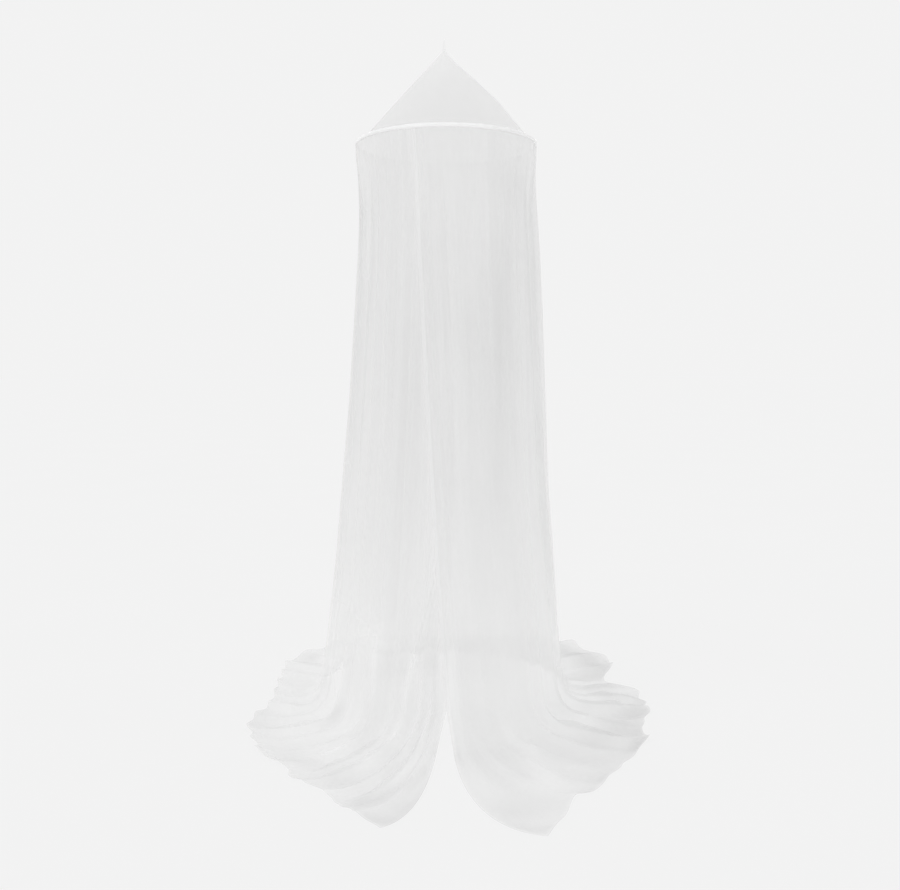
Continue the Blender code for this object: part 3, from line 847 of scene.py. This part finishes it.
def crown_radius(drop, azimuth):
    """Radius of the smooth cone, azimuths by drops below its tip."""
    radii = []
    for column in (1, 2):
        outline = rounded_table(CROWN_ROWS, column, drop, CROWN_ROUNDING)
        outline[0], outline[-1] = CROWN_ROWS[0, column], CROWN_ROWS[-1, column]
        radii.append(outline)
    return side_radius(*radii, azimuth[:, None])


def make_crown(material):
    """The cone of net over the hoop."""
    columns, rows = CROWN_GRID
    azimuth = np.linspace(0.0, 360.0, columns, endpoint=False)
    drop = CROWN_ROWS[-1, 0] * np.linspace(0.0, 1.0, rows) ** RIM_CROWDING
    share = drop / drop[-1]
    off_rim = np.arange(rows) < rows - 1
    pucker = ring_relief(np.random.default_rng(5), CROWN_PUCKERS, columns, rows)
    pucker = pucker * smooth_step((share - PUCKER_FROM) / PUCKER_RISE) * off_rim
    radius = crown_radius(drop, azimuth) + pucker
    points = outward(azimuth)[:, None, :] * radius[..., None]
    points[..., 0] -= HOOP_SHIFT * (1.0 - share)
    points[..., 2] = APEX_HEIGHT - drop
    steps = np.hypot(np.diff(drop), np.diff(radius.mean(axis=0)))
    slant = np.broadcast_to(np.concatenate(([0.0], np.cumsum(steps))), radius.shape)
    around = np.broadcast_to(np.radians(azimuth)[:, None] * CROWN_MEAN_RADIUS, radius.shape)
    thinner = (1.0 - TIP_THINNING * bump(share, 0.0, TIP_SHARE))[None, :]
    looks = {
        "side_hem": np.zeros_like(radius),
        "bottom_hem": 1.0 - smooth_step((slant[:, -1:] - slant) / CROWN_HEM),
        "density_and_shade": thinner * (1.0 - SIDE_THINNING * np.sin(np.radians(azimuth))[:, None] ** 4),
    }
    mesh = grid_mesh("fine_crown", points, (around, slant), looks, closed=True)
    crown = add_piece("fine_crown", mesh, material, "crown")


def make_casing(material):
    """The tape sewn round the hoop, puckered a little where the net is gathered into its seam, with
    painted shade towards its sides.
    """
    columns, around = CASING_GRID
    azimuth = np.linspace(0.0, 360.0, columns, endpoint=False)
    angle = np.radians(np.linspace(-90.0, 270.0, around, endpoint=False))
    reach = CASING_RADIUS + CASING_OUTSET
    across, up = reach * np.cos(angle), reach * np.sin(angle)
    up = np.where(up < 0.0, up * LOWER_HALF_DEPTH, up)
    pucker = ring_relief(np.random.default_rng(8), CASING_PUCKERS, columns, around)
    pucker = 1.0 + pucker * np.sin(math.pi * np.linspace(0.0, 1.0, around)) / reach
    radius = HOOP_RADIUS + across * pucker
    points = outward(azimuth)[:, None, :] * radius[..., None]
    points[..., 2] = HOOP_HEIGHT + up * pucker
    points = np.concatenate((points, points[:, :1]), axis=1)
    shape = points.shape[:2]
    length = np.broadcast_to(np.radians(azimuth)[:, None] * HOOP_RADIUS, shape)
    width = np.broadcast_to(np.linspace(0.0, math.tau * reach, around + 1), shape)
    from_front = np.abs((azimuth + 180.0) % 360.0 - 180.0)[:, None]
    # Painted shade: the casing's tone darkens away from the front
    painted_side_shade = np.broadcast_to(CASING_SIDE_SHADE * smooth_step((from_front - UNSHADED_FRONT) / SIDE_SHADE_RISE), shape)
    mesh = grid_mesh("casing_tape", points, (length, width), {"painted_side_shade": painted_side_shade}, closed=True)
    casing = add_piece("casing_tape", mesh, material, "hoop_casing")


def loop_profile():
    """The loop seen from its side, as (y, z) along the middle of its tape from end to end."""
    half = []
    for angle in np.linspace(0.0, 0.5 * math.pi, EYE_STEPS + 1):
        half.append((EYE_RADIUS * math.sin(angle), EYE_RADIUS * math.cos(angle) - EYE_DROP))
    neck = LOOP_DROP - LOOP_FOOT - EYE_DROP
    for share in np.linspace(0.0, 1.0, NECK_STEPS + 1)[1:]:
        out = EYE_RADIUS + (TAPE_THICKNESS - EYE_RADIUS) * smooth_step(share)
        half.append((out, -EYE_DROP - neck * share))
    for share in np.linspace(0.0, 1.0, FOOT_STEPS + 1)[1:]:
        half.append((TAPE_THICKNESS, LOOP_FOOT * (1.0 - share) - LOOP_DROP))
    return np.array([(-y, z) for y, z in reversed(half)] + half[1:])


def make_loop(material):
    """The tape loop that hangs on the hook: two runs of tape that meet in a stitched foot."""
    path = loop_profile()
    across = TAPE_WIDTH * np.linspace(-0.5, 0.5, TAPE_COLUMNS)
    points = np.zeros((len(path), len(across), 3))
    points[..., 0] = across - HOOP_SHIFT
    points[..., 1] = path[:, :1]
    points[..., 2] = path[:, 1:] + HANG_HEIGHT
    steps = np.linalg.norm(np.diff(path, axis=0), axis=1)
    length = np.concatenate(([0.0], np.cumsum(steps)))
    cloth = np.broadcast_arrays(length[:, None], across[None, :])
    mesh = grid_mesh("loop_tape", points, cloth, {})
    loop = add_piece("loop_tape", mesh, material, "hanging_loop")
    solid = loop.modifiers.new("Tape", "SOLIDIFY")
    solid.thickness, solid.offset = TAPE_THICKNESS, 0.0


def make_floor():
    """A plain pale floor of the same tone as the air behind it."""
    middle = (0.0, 0.0, -HANG_HEIGHT - FLOOR_GAP)
    bpy.ops.mesh.primitive_circle_add(
        vertices=96, radius=FLOOR_RADIUS, fill_type="NGON", location=middle
    )
    floor = bpy.context.active_object
    floor.name = "floor"
    nodes = Nodes("floor_paint")
    place = nodes.add("ShaderNodeTexCoord")
    grain = {"Vector": place.outputs["Object"], "Scale": 1.5, "Detail": 2.0}
    noise = nodes.add("ShaderNodeTexNoise", grain).outputs["Fac"]
    darkest, lightest = FLOOR_DIFFUSE - FLOOR_SPREAD, FLOOR_DIFFUSE + FLOOR_SPREAD
    tint = nodes.grey(nodes.ramp(noise, 0.0, 1.0, darkest, lightest))
    sun_on_floor = SUN_STRENGTH * -SUN_AIM.z / math.pi
    glow = FLOOR_TONE - FLOOR_DIFFUSE * (FLOOR_TONE + sun_on_floor)
    paint = nodes.add("ShaderNodeBsdfDiffuse", {"Color": tint})
    light = nodes.add("ShaderNodeEmission", {"Color": (1.0, 1.0, 1.0, 1.0), "Strength": glow})
    both = nodes.add("ShaderNodeAddShader", {0: paint.outputs[0], 1: light.outputs[0]})
    floor.data.materials.append(nodes.finish(both.outputs[0]))


def make_light():
    """Even light from all round, and a soft sun from the front left."""
    world = bpy.data.worlds.new("studio")
    bpy.context.scene.world = world
    world.use_nodes = True
    back = world.node_tree.nodes["Background"]
    back.inputs["Color"].default_value = (FLOOR_TONE, FLOOR_TONE, FLOOR_TONE, 1.0)
    back.inputs["Strength"].default_value = 1.0
    sun = bpy.data.lights.new("soft_key", "SUN")
    sun.energy = SUN_STRENGTH
    sun.angle = math.radians(SUN_SPREAD)
    lamp = bpy.data.objects.new("soft_key", sun)
    lamp.rotation_euler = SUN_AIM.to_track_quat("-Z", "Y").to_euler()
    bpy.context.scene.collection.objects.link(lamp)


def make_camera():
    """Looks at the front from 3.2 m away and 1.17 m above the floor, tilted down by 5.2 degrees."""
    camera = bpy.data.cameras.new("camera")
    camera.sensor_width, camera.lens = CAMERA_SENSOR, CAMERA_LENS
    view = bpy.data.objects.new("camera", camera)
    view.location = CAMERA_PLACE
    view.rotation_euler = (math.radians(90.0 - CAMERA_TILT), 0.0, 0.0)
    bpy.context.scene.collection.objects.link(view)
    bpy.context.scene.camera = view


make_camera()
make_casing(tape_material("casing_weave", tone=0.905, glow=1.0))
make_crown(net_material("sheer_crown_net", hole_alpha=0.40, thread_alpha=0.68, tone=0.843))
make_loop(tape_material("loop_weave", tone=0.97, glow=0.0))
make_net(net_material("sheer_net", hole_alpha=0.33, thread_alpha=0.58, tone=0.846))
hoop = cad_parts["hoop"]
hoop.data.materials.clear()
hoop.data.materials.append(hoop_material())
make_floor()
make_light()
scene = bpy.context.scene
scene.view_settings.view_transform = "Standard"
scene.cycles.transparent_max_bounces = MOST_LAYERS
